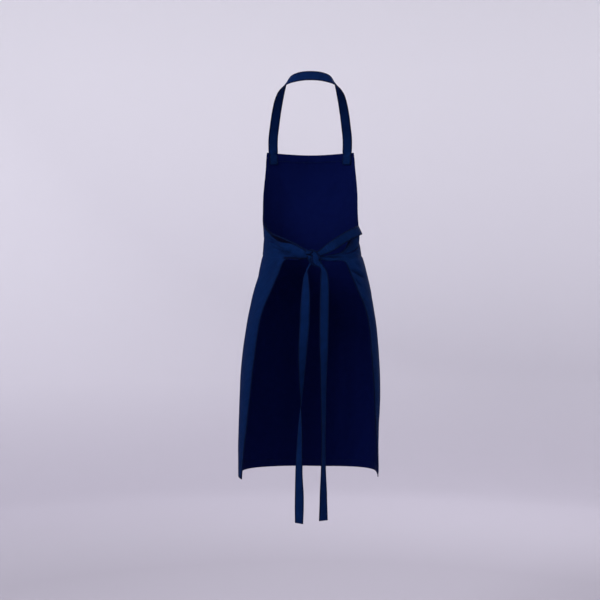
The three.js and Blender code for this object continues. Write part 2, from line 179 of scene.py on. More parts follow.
lineSteps = np.linspace(0, 1, 241)


def heightAt(level):
    below = waistHeight - (level - 1) * panel["skirtLength"]
    return np.where(level < 1, bibTop - level * panel["bibLength"], below)


def halfWidthAt(level):
    above = mix(panel["bibWidth"], panel["waistWidth"], level)
    return np.where(level < 1, above, mix(panel["waistWidth"], panel["hemWidth"], level - 1)) / 2


def halfDepthAt(level):
    below = mix(panel["waistDepth"], panel["hemDepth"], level - 1)
    return np.where(level < 1, panel["waistDepth"], below) / 2


def sectionAt(row):
    i = min(int(row), lastRow - 1)
    a, b, c, d = (sectionRows[min(lastRow, max(0, i + k))] for k in (-1, 0, 1, 2))
    t = row - i
    values = b + 0.5 * t * (c - a + t * (2 * a - 5 * b + 4 * c - d + t * (3 * (b - c) + d - a)))
    return dict(zip(sectionColumns, values))


def ovalPoints(section, level, turn, side):
    angle = np.radians(turn)
    power = 2 / section["square"]
    half = section["leftHalf" if side > 0 else "rightHalf"] * halfWidthAt(level)
    depth = np.where(turn < 90, -section["front"], section["back"]) * halfDepthAt(level)
    x = side * half * np.sign(np.sin(angle)) * np.abs(np.sin(angle)) ** power
    y = depth * np.abs(np.cos(angle)) ** power - panel["napeToMiddle"]
    return np.stack([x, y, heightAt(level)], -1)


# Half a line of weave, from the middle of the front to the edge, and its length so far.
def halfLine(row, side):
    section = sectionAt(row)
    hand = "left" if side > 0 else "right"
    level = mix(section["mid"], section[hand + "Edge"], smooth(lineSteps))
    points = ovalPoints(section, level, section[hand + "Turn"] * lineSteps, side)
    return points, lengthsAlong(points)


def alongLine(line, distance):
    points, lengths = line
    return np.stack([np.interp(distance, lengths, points[:, k]) for k in range(3)], -1)


# Distances from an edge that the mesh has lines at, so that hems and their seams have a shape.
sideLines = np.array([0, 0.0008, 0.002, 0.005, 0.0078, 0.0086, 0.0092, 0.0100, 0.0125, 0.016])
endLines = np.array([
    0, 0.0009, 0.0025, 0.007, 0.012, 0.0165, 0.0178, 0.0186, 0.0194, 0.0205, 0.024,
])
columnsInside = 70  # mesh columns between the middle of the front and a side hem


def panelRows():
    rows = []
    for i in range(lastRow):
        lines = [[halfLine(i + k, side)[0] for side in (1, -1)] for k in (0, 1)]
        widest = max(
            np.linalg.norm(lines[0][s][j] - lines[1][s][j])
            for s in (0, 1) for j in (0, 120, 180, 240)
        )
        steps = max(2, math.ceil(widest / panel["spacing"] * 0.8))
        rows += [i + k / steps for k in range(steps)]
    rows.append(lastRow)
    rows = np.array(rows)
    middle = np.array([halfLine(r, 1)[0][0] for r in rows])
    down = lengthsAlong(middle)
    top = np.interp(endLines, down, rows)
    hem = np.interp(down[-1] - endLines[::-1], down, rows)
    inside = rows[(down > endLines[-1] + 0.002) & (down < down[-1] - endLines[-1] - 0.002)]
    return np.concatenate([top, inside, hem])


def panelGrid():
    grid, flatAcross, fromSide = [], [], []
    for row in panelRows():
        halves = []
        for side in (-1, 1):
            line = halfLine(row, side)
            whole = line[1][-1]
            inner = np.linspace(0, whole - sideLines[-1], columnsInside, endpoint=False)
            distance = np.concatenate([inner, whole - sideLines[::-1]])
            halves.append((alongLine(line, distance), distance * side, whole - distance))
        (rightPoints, rightAcross, rightEdge), (leftPoints, leftAcross, leftEdge) = halves
        grid.append(np.concatenate([rightPoints[:0:-1], leftPoints]))
        flatAcross.append(np.concatenate([rightAcross[:0:-1], leftAcross]))
        fromSide.append(np.concatenate([rightEdge[:0:-1], leftEdge]))
    return np.array(grid), np.array(flatAcross), np.array(fromSide)


grid, flatAcross, fromSide = panelGrid()
stepsDown = np.linalg.norm(np.diff(grid, axis=0), axis=2)
flatDown = np.concatenate([np.zeros((1, grid.shape[1])), np.cumsum(stepsDown, axis=0)])
fromHem = flatDown[-1:] - flatDown
fromEnd = np.minimum(flatDown, fromHem)
print("panel lines", grid.shape[:2], "cut length", round(float(flatDown[-1, 80]), 3))


def gridFrame(points):
    along = unit(np.gradient(points, axis=1))
    down = unit(np.gradient(points, axis=0))
    return along, down, unit(np.cross(down, along))


# A crease is a line from one place to another, with a depth that is highest halfway. A hollow
# crease also gives painted shade along its bottom, darker the steeper it is.
def creaseField(horizontal, vertical, table, ease=0.7):
    total = np.zeros_like(horizontal)
    valleyShade = np.zeros_like(horizontal)
    for x0, z0, x1, z1, halfWidth, depth in table:
        dx, dz = x1 - x0, z1 - z0
        length = math.hypot(dx, dz)
        t = ((horizontal - x0) * dx + (vertical - z0) * dz) / length**2
        away = ((horizontal - x0) * dz - (vertical - z0) * dx) / length
        rise = np.sin(np.pi * np.clip(t, 0, 1)) ** ease
        total += depth * rise * np.exp(-((away / halfWidth) ** 2))
        if depth < 0:
            steep = min(1, -depth / halfWidth)
            valleyShade = np.maximum(valleyShade, steep * rise * np.exp(-((away / halfWidth * 1.7) ** 2)))
    return total, valleyShade


# Creases of the two back parts as seen from behind: X and Z of both ends, half width and depth,
# in millimetres. A positive depth stands out towards the viewer. The waist corners are pulled
# into the knot, so most creases fan out from there.
backCreases = np.array([
    (112, -424, 76, -450, 5, -1.6), (106, -417, 66, -439, 4, 1.2), (100, -449, 60, -470, 6, -2.2),
    (104, -441, 52, -461, 5, 1.6), (92, -462, 28, -481, 6, -2.6), (97, -455, 70, -473, 5, 1.6),
    (70, -447, 10, -470, 7, 1.4), (56, -476, 4, -483, 5, -2.0), (98, -440, 70, -457, 3.5, -1.7),
    (70, -462, 44, -470, 3.5, -1.5), (84, -472, 118, -560, 13, -2.6),
    (76, -482, 103, -590, 8, 1.6), (128, -470, 150, -600, 14, 1.8),
    (118, -600, 136, -760, 20, -2.2), (154, -640, 160, -900, 16, 2.0),
    (-34, -484, -74, -486, 4, 1.5), (-30, -478, -84, -478, 4, -2.2),
    (-40, -491, -90, -497, 4, -1.4), (-84, -486, -118, -500, 8, 1.8),
    (-96, -497, -141, -522, 5, 2.6), (-102, -508, -143, -531, 4, -2.6),
    (-104, -519, -135, -549, 5, 1.9), (-110, -528, -134, -556, 3.5, -1.7),
    (-118, -470, -132, -520, 10, 1.6), (-150, -600, -160, -800, 14, -2.0),
    (-158, -700, -166, -980, 10, 1.6),
]) / 1000

# Deep shade where the cloth turns in, as seen from behind: X and Z of both ends, half width, and
# how dark it is, from 0 to 1. The lengths are in millimetres.
shadeLines = np.array([
    (66, -480, 8, -483, 4.4, 0.95),
    (-22, -474, -74, -465, 3.4, 0.85),
    (-78, -459, -100, -437, 8, 0.95),
]) / (1000, 1000, 1000, 1000, 1000, 1)

# Folds of the whole cloth on its flat cut: distance across from the middle and down from the
# top edge, of both ends, half width and depth, in millimetres. The wearer's left is positive.
flatFolds = np.array([
    (100, 24, 40, 150, 16, 2.2), (-100, 24, -44, 160, 16, 2.4), (84, 60, 20, 120, 9, -1.0),
    (-80, 66, -14, 130, 9, -1.0), (0, 30, 6, 240, 40, 2.0), (104, 120, 92, 300, 15, -1.8),
    (-104, 130, -90, 300, 15, -1.8), (60, 252, 190, 268, 7, 1.4), (50, 272, 205, 292, 7, -1.8),
    (-52, 254, -190, 270, 7, 1.4), (-60, 274, -204, 296, 8, -1.9), (30, 300, 170, 330, 9, 1.5),
    (-26, 296, -180, 332, 9, 1.6), (70, 330, 210, 380, 10, -1.8), (-74, 334, -220, 384, 10, -1.8),
    (70, 380, 84, 880, 30, 6.5), (-32, 340, -44, 880, 24, -6.5), (-150, 400, -148, 880, 30, 6.0),
    (206, 430, 212, 880, 26, -5.4), (14, 480, 20, 880, 17, 3.6), (124, 470, 140, 880, 17, -4.0),
    (-92, 520, -98, 880, 16, -3.6), (-218, 520, -222, 880, 20, -3.4),
    (264, 500, 268, 880, 18, 2.4), (-270, 560, -276, 880, 15, 2.0),
]) / 1000


drape = {
    "behindFrom": -0.075,  # how far back the creases of the back parts begin
    "behindEase": 0.05,
    "foldFade": 0.85,  # the folds are less deep behind
    # painted shade in the hollows of the front's folds, fainter behind
    "hollowDark": 1.6,
    "hollowFade": 0.6,
    "tieDraw": 0.0042,  # the right side is drawn out by the tie's sewn end
    "tieDrawPlace": (-0.045, -0.418),
    "tieDrawReach": (0.035, 0.024),
    # across, down, seed and size, as the cloth is never quite smooth
    "ripples": ((9, 6, 0.3, 0.0026), (26, 17, 4.1, 0.0005)),
    # size, rate, drift of the rate, and reach of the puckers that a hem's seam draws up
    "sidePuckers": (0.00035, 260, 71, 0.009),
    "endPuckers": (0.0004, 230, 67, 0.012),
    "knotRise": 0.0075,  # of the corners, into the middle of the knot
    "knotRiseReach": (0.060, 0.02),
}


def hemPuckers(run, distance, hem, size, rate, drift, reach):
    wave = np.sin(run * rate + np.sin(run * drift) * 2)
    return size * wave * np.exp(-((distance - hem) / reach) ** 2)


def rippleAt(u, v):
    return sum(
        noise.noise(Vector((u * across, v * down, seed))) * size
        for across, down, seed, size in drape["ripples"]
    )


# The drape also returns the painted shade of the crease hollows and turned-in places.
def drapePanel(points):
    along, down, outward = gridFrame(points)
    x, y, z = points[..., 0], points[..., 1], points[..., 2]
    behind = smooth((y - drape["behindFrom"]) / drape["behindEase"])
    push, valleyShade = creaseField(x, z, backCreases)
    push, valleyShade = push * behind, valleyShade * behind
    for x0, z0, x1, z1, halfWidth, dark in shadeLines:
        length = math.hypot(x1 - x0, z1 - z0)
        t = np.clip(((x - x0) * (x1 - x0) + (z - z0) * (z1 - z0)) / length**2, 0, 1)
        away = np.hypot(x - mix(x0, x1, t), z - mix(z0, z1, t))
        valleyShade = np.maximum(valleyShade, dark * np.exp(-((away / halfWidth) ** 2)) * behind)
    fold, hollowShade = creaseField(flatAcross, flatDown, flatFolds, 0.5)
    push += fold * (1 - drape["foldFade"] * behind)
    hollowShade = drape["hollowDark"] * hollowShade * (1 - drape["hollowFade"] * behind)
    valleyShade = np.maximum(valleyShade, hollowShade)
    (drawY, drawZ), (reachY, reachZ) = drape["tieDrawPlace"], drape["tieDrawReach"]
    drawn = np.exp(-(((z - drawZ) / reachZ) ** 2)) * np.exp(-(((y - drawY) / reachY) ** 2))
    push += np.where(x < 0, drape["tieDraw"] * drawn, 0)
    ripples = [rippleAt(u, v) for u, v in zip(flatAcross.ravel(), flatDown.ravel())]
    push += np.array(ripples).reshape(push.shape)
    push += hemPuckers(flatDown, fromSide, panel["sideHem"], *drape["sidePuckers"])
    for distance in (fromHem, flatDown):
        push += hemPuckers(flatAcross, distance, panel["endHem"], *drape["endPuckers"])
    moved = points + outward * push[..., None]
    sideways, back = drape["knotRiseReach"]
    nearKnot = smooth(1 - np.abs(x - knotCentre[0]) / sideways) * smooth(y / back)
    moved[..., 1] += drape["knotRise"] * nearKnot
    return moved, valleyShade


grid, valleyShades = drapePanel(grid)


# Painted shade at the cloth's edges, its folded rim and its seam grooves, and how much of it
# shows the inside's colour, which is the wrong side's own tone with painted shade.
clothShade = {
    "edge": 0.85,
    "edgeReach": 0.0038,
    "seam": 0.4,
    "innerSeam": 0.35,
    "rim": 0.6,
    "wrongSideAndShade": 0.85,
    "rimWrongSideAndShade": 0.4,
}


# How thick a hem is at a distance from its edge, and how far its seam is drawn in, as shares.
def hemShape(distance, hem):
    rise = smooth((hem - distance) / panel["hemEase"] + 0.5)
    seam = np.exp(-((distance - hem + panel["seamInset"]) / panel["seamHalfWidth"]) ** 2)
    return rise, seam


# A closed cloth from its middle surface, with hems that are thicker on the inside.
def panelMesh(points):
    along, down, outward = gridFrame(points)
    rows, columns = points.shape[:2]
    half = panel["thickness"] / 2
    sideRise, sideSeam = hemShape(fromSide, panel["sideHem"])
    endRise, endSeam = hemShape(fromEnd, panel["endHem"])
    rise, seam = np.maximum(sideRise, endRise), np.maximum(sideSeam, endSeam)
    outerDraw, innerDraw = (depth * seam for depth in panel["seamDepths"])
    outer = points + outward * (half - outerDraw)[..., None]
    inner = points - outward * (half + panel["hemExtra"] * rise - innerDraw)[..., None]
    middle = (outer + inner) / 2
    count = rows * columns
    index = np.arange(count).reshape(rows, columns)
    faces = gridQuads(index).tolist() + (gridQuads(index, True) + count).tolist()
    # the edge all round, a little proud so that it reads as a folded edge
    loop = [(r, 0) for r in range(rows)] + [(rows - 1, k) for k in range(1, columns)]
    loop += [(r, columns - 1) for r in range(rows - 2, -1, -1)]
    loop += [(0, k) for k in range(columns - 2, 0, -1)]
    rim = []
    for r, k in loop:
        way = ((k == columns - 1) - (k == 0)) * along[r, k]
        way = way + ((r == rows - 1) - (r == 0)) * down[r, k]
        rim.append(middle[r, k] + unit(way) * panel["hemExtra"] * 0.7)
    start = 2 * count
    ring = [index[r, k] for r, k in loop]
    for i in range(len(loop)):
        j = (i + 1) % len(loop)
        p, q = int(ring[i]), int(ring[j])
        faces.append((q, p, start + i, start + j))
        faces.append((p + count, q + count, start + j, start + i))
    allPoints = np.concatenate([outer.reshape(-1, 3), inner.reshape(-1, 3), np.array(rim)])
    flat = np.stack([flatAcross, flatDown], -1).reshape(-1, 2)
    uv = np.concatenate([flat, flat, flat[ring]])
    # painted shade outside at the edges, crease hollows and seams, inside at the seams, and on the
    # rim
    fromEdge = np.minimum(fromSide, fromEnd)
    edge = clothShade["edge"] * np.exp(-(fromEdge / clothShade["edgeReach"]) ** 2)
    outside = np.maximum(np.maximum(edge, valleyShades), clothShade["seam"] * seam).ravel()
    inside = clothShade["innerSeam"] * seam.ravel()
    shade = np.concatenate([outside, inside, np.full(len(loop), clothShade["rim"])])
    shares = (0, clothShade["wrongSideAndShade"], clothShade["rimWrongSideAndShade"])
    wrongSideAndShade = np.repeat(shares, (count, count, len(loop)))
    made = makeObject("apron_cloth", allPoints, faces, uv, shade, wrongSideAndShade)
    return made, outer, inner, outward


apronCloth, outerGrid, innerGrid, clothOutward = panelMesh(grid)
print("panel", len(apronCloth.data.polygons), "faces")


# Straps.
strap = {
    "width": 0.026,
    "thickness": 0.0015,
    "step": 0.003,
    "seamInset": 0.0022,  # of the edge stitching
    "seamDepth": 0.0002,
    "seamShade": 0.3,
    "edgeShades": ((0.79, 0.45), (0.88, 0.8)),  # from which share of the half width, how dark
    "pleats": ((0.18, 5, 45), (0.07, 8, -110)),  # size, folds round, and turns along the run
    "crumpled": 0.3,  # bunched more than this, it shows no edge stitching
}
flatStrap = (strap["width"], strap["thickness"], 0)
seamShare = 1 - 2 * strap["seamInset"] / strap["width"]
faceShares = np.array([
    -1, -0.97, -0.9, -seamShare - 0.035, -seamShare, -seamShare + 0.035, -0.6, -0.35, -0.12,
    0.12, 0.35, 0.6, seamShare - 0.035, seamShare, seamShare + 0.035, 0.9, 0.97, 1,
])
seamColumns = (4, len(faceShares) - 5)


# The outline of a strap across its run: flat where bunch is 0, a crumpled strand where it is 1.
def strapOutline(width, thickness, bunch, run):
    count = len(faceShares)
    groove = np.exp(-((np.abs(faceShares) - seamShare) / 0.03) ** 2)
    edge = np.sqrt(np.clip(1 - np.abs(faceShares) ** 14, 0, 1)) * 0.75 + 0.25
    flatX = np.concatenate([faceShares, faceShares[::-1]]) * width / 2
    rise = thickness / 2 * edge - strap["seamDepth"] * groove * (1 - bunch)
    flatY = np.concatenate([rise, -rise[::-1]])
    angle = np.concatenate([np.linspace(math.pi, 0, count), np.linspace(0, -math.pi, count)])
    pleat = 1
    for size, folds, turning in strap["pleats"]:
        pleat = pleat + size * np.cos(folds * angle + run * turning)
    roundX = np.cos(angle) * width / 2 * pleat
    roundY = np.sin(angle) * thickness / 2 * pleat
    # the two ends of each face meet, so they are kept a hair apart
    roundY = roundY + np.concatenate([np.full(count, 2e-5), np.full(count, -2e-5)])
    return mix(flatX, roundX, bunch), mix(flatY, roundY, bunch)


# A strap through stations of (point, across, width, thickness, bunch). Returns the object, and
# what the stitching is laid on: its two faces as grids, and which way the first one faces.
def makeStrap(name, stations, rippleSize, seed, darkest=None):
    points = np.array([s[0] for s in stations])
    across = np.array([s[1] for s in stations])
    sizes = np.array([s[2:] for s in stations])
    stops = lengthsAlong(points)
    at = np.linspace(0, stops[-1], int(stops[-1] / strap["step"]) + 1)
    path = throughStops(stops, points, at)
    tangent = unit(np.gradient(path, axis=0))
    side = throughStops(stops, across, at)
    side = unit(side - tangent * np.sum(side * tangent, axis=1, keepdims=True))
    facing = np.cross(tangent, side)
    sizes = throughStops(stops, sizes, at)
    # painted shade along the run, where darkest is given
    dark = np.interp(at, stops, darkest) if darkest else np.zeros(len(at))
    run = lengthsAlong(path)
    rings, flat = [], []
    for i, (width, thickness, bunch) in enumerate(sizes):
        bunch = min(1, max(0, bunch))
        x, y = strapOutline(width, thickness, bunch, run[i] + seed)
        bow = noise.noise(Vector((run[i] * 14, seed, 0.0))) * rippleSize
        curl = noise.noise(Vector((run[i] * 30, seed, 5.0))) * rippleSize * 0.6
        y = y + (bow * (1 - (2 * x / width) ** 2) + curl * 2 * x / width) * (1 - bunch)
        rings.append(path[i] + np.outer(x, side[i]) + np.outer(y, facing[i]))
        flat.append(np.stack([x, np.full_like(x, run[i])], -1))
    rings, flat = np.array(rings), np.array(flat)
    count, around = rings.shape[:2]
    index = np.arange(count * around).reshape(count, around)
    nextRound = np.roll(index, -1, axis=1)
    a, b = index[:-1].ravel(), nextRound[:-1].ravel()
    c, d = nextRound[1:].ravel(), index[1:].ravel()
    faces = np.stack([d, c, b, a], 1).tolist()
    half = around // 2
    for ring, turn in ((index[0], 1), (index[-1], -1)):
        for k in range(half - 1):
            corners = (ring[k], ring[k + 1], ring[around - 2 - k], ring[around - 1 - k])
            faces.append([int(v) for v in corners][::turn])
    shade = np.zeros((count, around)) + dark[:, None]
    shares = np.abs(np.concatenate([faceShares, faceShares[::-1]]))
    # painted shade at the strap's edges and over its edge seams
    for share, darkness in strap["edgeShades"]:
        shade[:, shares > share] = darkness
    shade[:, np.abs(shares - seamShare) < 0.01] += strap["seamShade"]
    made = makeObject(name, rings.reshape(-1, 3), faces, flat.reshape(-1, 2), shade.ravel())
    return made, (rings[:, :half], rings[:, : half - 1 : -1], facing)


def knotPlace(right, back, up):
    return knotCentre + np.array([-right, back, up]) / 1000


# The neck strap.
neck = {
    "drop": neckHigh.z - bibTop,  # nape to the bib's top edge
    "sewn": 0.030,
    "cornerInset": 0.005,
    "gap": 0.0010,  # from the bib's middle surface to the strap's near face
}
# out is a share of half the bib's width, forward of the way to the bib and down of the drop.
# lean turns the strap from upright, at 0 degrees, to lying flat on the shoulder, at 90.
neckRoute = [
    (0, 0, 0, 15),
    (0.24, 0.026, 0.011, 18),
    (0.42, 0.104, 0.042, 26),
    (0.535, 0.227, 0.1, 42),
    (0.605, 0.37, 0.178, 58),
    (0.665, 0.52, 0.295, 72),
    (0.72, 0.675, 0.455, 82),
    (0.765, 0.805, 0.64, 88),
    (0.8, 0.92, 0.82, 90),
]


# A point of the cloth's middle surface, and the direction out of it.
def onCloth(row, distance, side):
    here, ahead, below = (
        alongLine(halfLine(row + down, side), distance + across)
        for down, across in ((0, 0), (0, 0.002), (0.02, 0))
    )
    return here, unit(np.cross(below - here, (ahead - here) * side))


def neckStations():
    halfLength = halfLine(0, 1)[1][-1]
    middle = halfLength - neck["cornerInset"] - strap["width"] / 2
    sewnRows = neck["sewn"] / ((sectionRows[1][0] - sectionRows[0][0]) * panel["bibLength"])
    reach = onCloth(0, middle, 1)[0][1]
    halfBib = panel["bibWidth"] / 2
    halves = []
    for side in (-1, 1):
        stations = []
        for i, (out, forward, drop, lean) in enumerate(neckRoute):
            after = neckRoute[min(i + 1, len(neckRoute) - 1)]
            before = neckRoute[max(i - 1, 0)]
            heading = unit(np.array([
                side * (after[0] - before[0]) * halfBib, (after[1] - before[1]) * reach, 0,
            ]))
            outward = np.array([-side * heading[1], side * heading[0], 0] if i else [0, 1, 0])
            angle = math.radians(lean)
            across = outward * math.sin(angle) + np.array([0, 0, -math.cos(angle)])
            height = -drop * neck["drop"] - strap["width"] / 2 * math.cos(angle)
            point = np.array([side * out * halfBib, forward * reach, height])
            stations.append((point, across, *flatStrap))
        for share in (0, 0.5, 1):
            inner, innerOut = onCloth(share * sewnRows, middle - strap["width"] / 2, side)
            outer, outerOut = onCloth(share * sewnRows, middle + strap["width"] / 2, side)
            hemStep = panel["hemExtra"] * (0.9 if share < 0.6 else 0.2)
            offset = neck["gap"] + strap["thickness"] / 2 + hemStep
            point = (inner + outer) / 2 - unit(innerOut + outerOut) * offset
            stations.append((point, outer - inner, *flatStrap))
        halves.append(stations)
    return halves[0][::-1] + halves[1][1:]


neckStops = neckStations()
neckCloth, neckFaces = makeStrap("neck_strap_cloth", neckStops, 0.0005, 2.0)
print("neck strap", len(neckCloth.data.polygons), "faces")


# The two ties.
# Where each tie runs round the waist before the knot: degrees round the body, level, degrees
# that the lower edge leans out, and the gap to the cloth's face in millimetres.
leftWaistRoute = [
    (88, 0.715, 0, 1.4), (100, 0.75, 0, 1.4), (119, 0.815, 0, 1.4), (134, 0.848, 0, 1.4),
    (149, 0.887, 0, 1.4),
]
rightWaistRoute = [
    (97, 0.742, 24, 3.4), (107, 0.753, 20, 3.4), (119, 0.775, 13, 2.6), (131, 0.804, 7, 1.4),
    (142, 0.843, 3, 0.8), (150, 0.878, 0, 0.6),
]
tieRow = {"left": 6, "right": 7.2}


def waistStations(route, side, row, outside):
    section = sectionAt(row)
    points, outward = [], []
    for turn, level, lean, gap in route:
        point = ovalPoints(section, np.array(level), np.array(float(turn)), side)
        angle = math.radians(turn)
        outward.append(np.array([side * math.sin(angle), -math.cos(angle), 0]))
        away = outside * (panel["thickness"] / 2 + strap["thickness"] / 2 + gap / 1000)
        points.append(point + away * outward[-1])
    points, outward = np.array(points), np.array(outward)
    tangent = unit(np.gradient(points, axis=0))
    up = unit(np.array([0, 0, 1]) - tangent * tangent[:, 2:])
    lean = np.radians([stop[2] for stop in route])[:, None]
    up = unit(up * np.cos(lean) - outward * np.sin(lean))
    return [(points[i], up[i], *flatStrap) for i in range(len(route))]


# The knot, from its middle, in millimetres: right as seen from behind, back and up, then the
# same for the direction across the strap, then width, thickness and bunch.
leftTieKnot = [
    (-45, -15.5, 21, 0.36, 0, 0.93, 23, 1.8, 0.05),
    (-30, -11, 14.5, 0.4, 0, 0.9, 17, 3.2, 0.35),
    (-20, -5.5, 11.5, 0.3, 0.1, 0.95, 13.5, 4.8, 0.75),
    (-12, -0.5, 11, 0.1, 0.3, 0.95, 12.5, 5.6, 0.95),
    (-6.6, 4.5, 12.8, 0.15, 0.7, 0.7, 12.5, 5.8, 0.95),
    (-2.2, 8.8, 9, 0.6, 0.45, 0.65, 15.5, 5.4, 0.9),
    (1.8, 11.4, 1.8, 0.85, 0.1, 0.5, 21, 5.2, 0.85),
    (2.6, 11.4, -5.4, 0.9, -0.05, 0.42, 26, 5, 0.8),
    (3.8, 10.2, -11.6, 0.95, -0.1, 0.3, 27.5, 4.6, 0.75),
    (9.6, 8, -17.6, 0.93, -0.2, 0.3, 19, 4, 0.65),
    (16.9, 6.4, -25, 0.9, -0.3, 0.2, 11.5, 3.4, 0.5),
]
rightTieKnot = [
    (45, -11, 28.5, -0.45, 0, 0.89, 25, 1.6, 0),
    (32, -8.5, 20, -0.47, 0, 0.88, 22.5, 2, 0.1),
    (20, -4.5, 12.2, -0.42, 0, 0.9, 18, 3.4, 0.4),
    (11, 0, 7.6, -0.25, 0.1, 0.95, 15, 4.6, 0.75),
    (3, 4, 6.6, 0, 0.1, 1, 13.5, 5.2, 0.9),
    (-4.6, 8.6, 5.4, 0.25, 0.15, 0.95, 15.5, 5.6, 0.85),
    (-9.2, 8.4, 0.6, 0.75, 0.2, 0.6, 17, 5.8, 0.8),
    (-9.8, 7, -5.6, 0.95, 0.2, 0.1, 16, 5.6, 0.8),
    (-8.4, 5, -12, 0.92, 0.3, 0.12, 13.5, 5, 0.8),
    (-9.4, 3, -17.6, 0.82, 0.5, 0.1, 9, 4, 0.75),
    (-13.4, 2.4, -24.5, 0.6, 0.78, 0, 7.5, 3.4, 0.6),
]
# The hanging ends, in millimetres from the knot's middle: right, back and up. Then the twist in
# degrees from facing the viewer, and width, thickness and bunch where the strap isn't flat.
leftTieTail = [
    (23.1, 6.6, -38, 14, 17, 2.8, 0.3), (24.3, 7.4, -50, 12, 20.5, 2.2, 0.15),
    (25.1, 8.6, -72, 14, 24, 1.7, 0.05), (24.8, 10, -108, 18), (23.9, 11, -160, 21),
    (23.4, 12, -219, 27), (23.0, 12, -275, 42), (22.5, 12, -318, 52), (22.3, 12, -380, 58),
    (22.3, 12, -446, 66), (22.2, 12, -529, 61), (22.2, 12, -582, 48), (22.2, 12, -637, 37),
    (22.1, 12, -663, 30),
]
rightTieTail = [
    (-18.3, 4.6, -34, -74, 14, 2.6, 0.4), (-21.0, 6.6, -49, -58, 22, 1.9, 0.1),
    (-21.7, 8, -70, -44, 25, 1.6, 0), (-22.3, 9.6, -101, -26), (-23.9, 11, -132, -8),
    (-25.3, 11.6, -171, 4), (-28.7, 12, -219, 20), (-31.3, 12, -275, 43), (-32.8, 12, -315, 61),
    (-33.5, 12, -360, 82), (-35.1, 12, -405, 103), (-36.5, 12, -446, 117), (-38.3, 12, -501, 129),
    (-39.1, 12, -554, 136), (-38.3, 12, -590, 147), (-38.5, 12, -637, 150),
    (-38.9, 12, -670, 143),
]


def station(place, across, width=26, thickness=1.5, bunch=0):
    return knotPlace(*place), across, width / 1000, thickness / 1000, bunch


def knotStations(table):
    return [station(row[:3], unit(row[3:6] * np.array([-1, 1, 1])), *row[6:]) for row in table]


def tailStations(table, sign):
    stations = []
    for right, back, up, twist, *size in table:
        angle = math.radians(twist)
        across = np.array([math.cos(angle), math.sin(angle), 0]) * sign
        stations.append(station((right, back, up), across, *size))
    return stations


def evenSides(stations):
    kept = [stations[0]]
    for s in stations[1:]:
        across = s[1] if np.dot(s[1], kept[-1][1]) > 0 else -s[1]
        kept.append((s[0], across, *s[2:]))
    return kept


leftStops = evenSides(
    waistStations(leftWaistRoute, 1, tieRow["left"], -1)
    + knotStations(leftTieKnot) + tailStations(leftTieTail, -1)
)
rightStops = evenSides(
    waistStations(rightWaistRoute, -1, tieRow["right"], 1)
    + knotStations(rightTieKnot) + tailStations(rightTieTail, 1)
)
inShadow = [1] * (len(leftWaistRoute) + 1) + [0] * (len(leftStops) - len(leftWaistRoute) - 1)
leftTie, leftFaces = makeStrap("tie_left_cloth", leftStops, 0.0008, 7.0, inShadow)
rightTie, rightFaces = makeStrap("tie_right_cloth", rightStops, 0.0008, 11.0)
print("ties", len(leftTie.data.polygons), len(rightTie.data.polygons), "faces")


# Painted shade in narrow places: it grows where rays from the cloth soon meet more cloth, as the
# shade that falls there. Only the tied waist has such places.
crevice = {
    "reach": 0.011,
    "rays": 22,
    "lift": 0.0003,  # of a ray's start off the cloth
    "strength": 1.25,
    "halfWidth": 0.150,
    "halfHeight": 0.085,
    "front": -0.06,
}


def paintCreviceShade(pieces):
    points, faces = [], []
    for piece in pieces:
        start = len(points)
        points += [v.co.copy() for v in piece.data.vertices]
        faces += [[start + k for k in polygon.vertices] for polygon in piece.data.polygons]
    tree = BVHTree.FromPolygons(points, faces)
    k = np.arange(crevice["rays"]) + 0.5
    height = 1 - 2 * k / crevice["rays"]
    turn = k * math.pi * (1 + math.sqrt(5))
    flat = np.sqrt(1 - height**2)
    rays = [Vector(v) for v in np.stack([flat * np.cos(turn), flat * np.sin(turn), height], 1)]
    for piece in pieces:
        layer = piece.data.attributes["shade"]
        for vertex in piece.data.vertices:
            x, y, z = vertex.co
            if y < crevice["front"] or abs(z - knotCentre[2]) > crevice["halfHeight"]:
                continue
            if abs(x) > crevice["halfWidth"]:
                continue
            normal = vertex.normal
            start = vertex.co + normal * crevice["lift"]
            closed = total = 0.0
            for ray in rays:
                facing = ray.dot(normal)
                way = ray if facing > 0 else -ray
                facing = abs(facing)
                total += facing
                distance = tree.ray_cast(start, way, crevice["reach"])[3]
                if distance is not None:
                    closed += facing * (1 - distance / crevice["reach"])
            dark = min(1, crevice["strength"] * closed / total)
            value = layer.data[vertex.index]
            value.value = 1 - (1 - value.value) * (1 - dark)


paintCreviceShade([apronCloth, leftTie, rightTie])
print("crevices shaded")


# Stitching.
thread = {
    "length": 0.0024,
    "pitch": 0.0033,
    "radius": 0.00028,
    "shoulders": (0.22, 0.78),  # where it has its whole radius
    "proud": 0.00008,
    "offCloth": 0.0001,  # of the line that a sewn end's stitches show on the cloth's other side
    "dip": 0.0002,  # of its two ends, into the cloth
    "sides": 5,
}


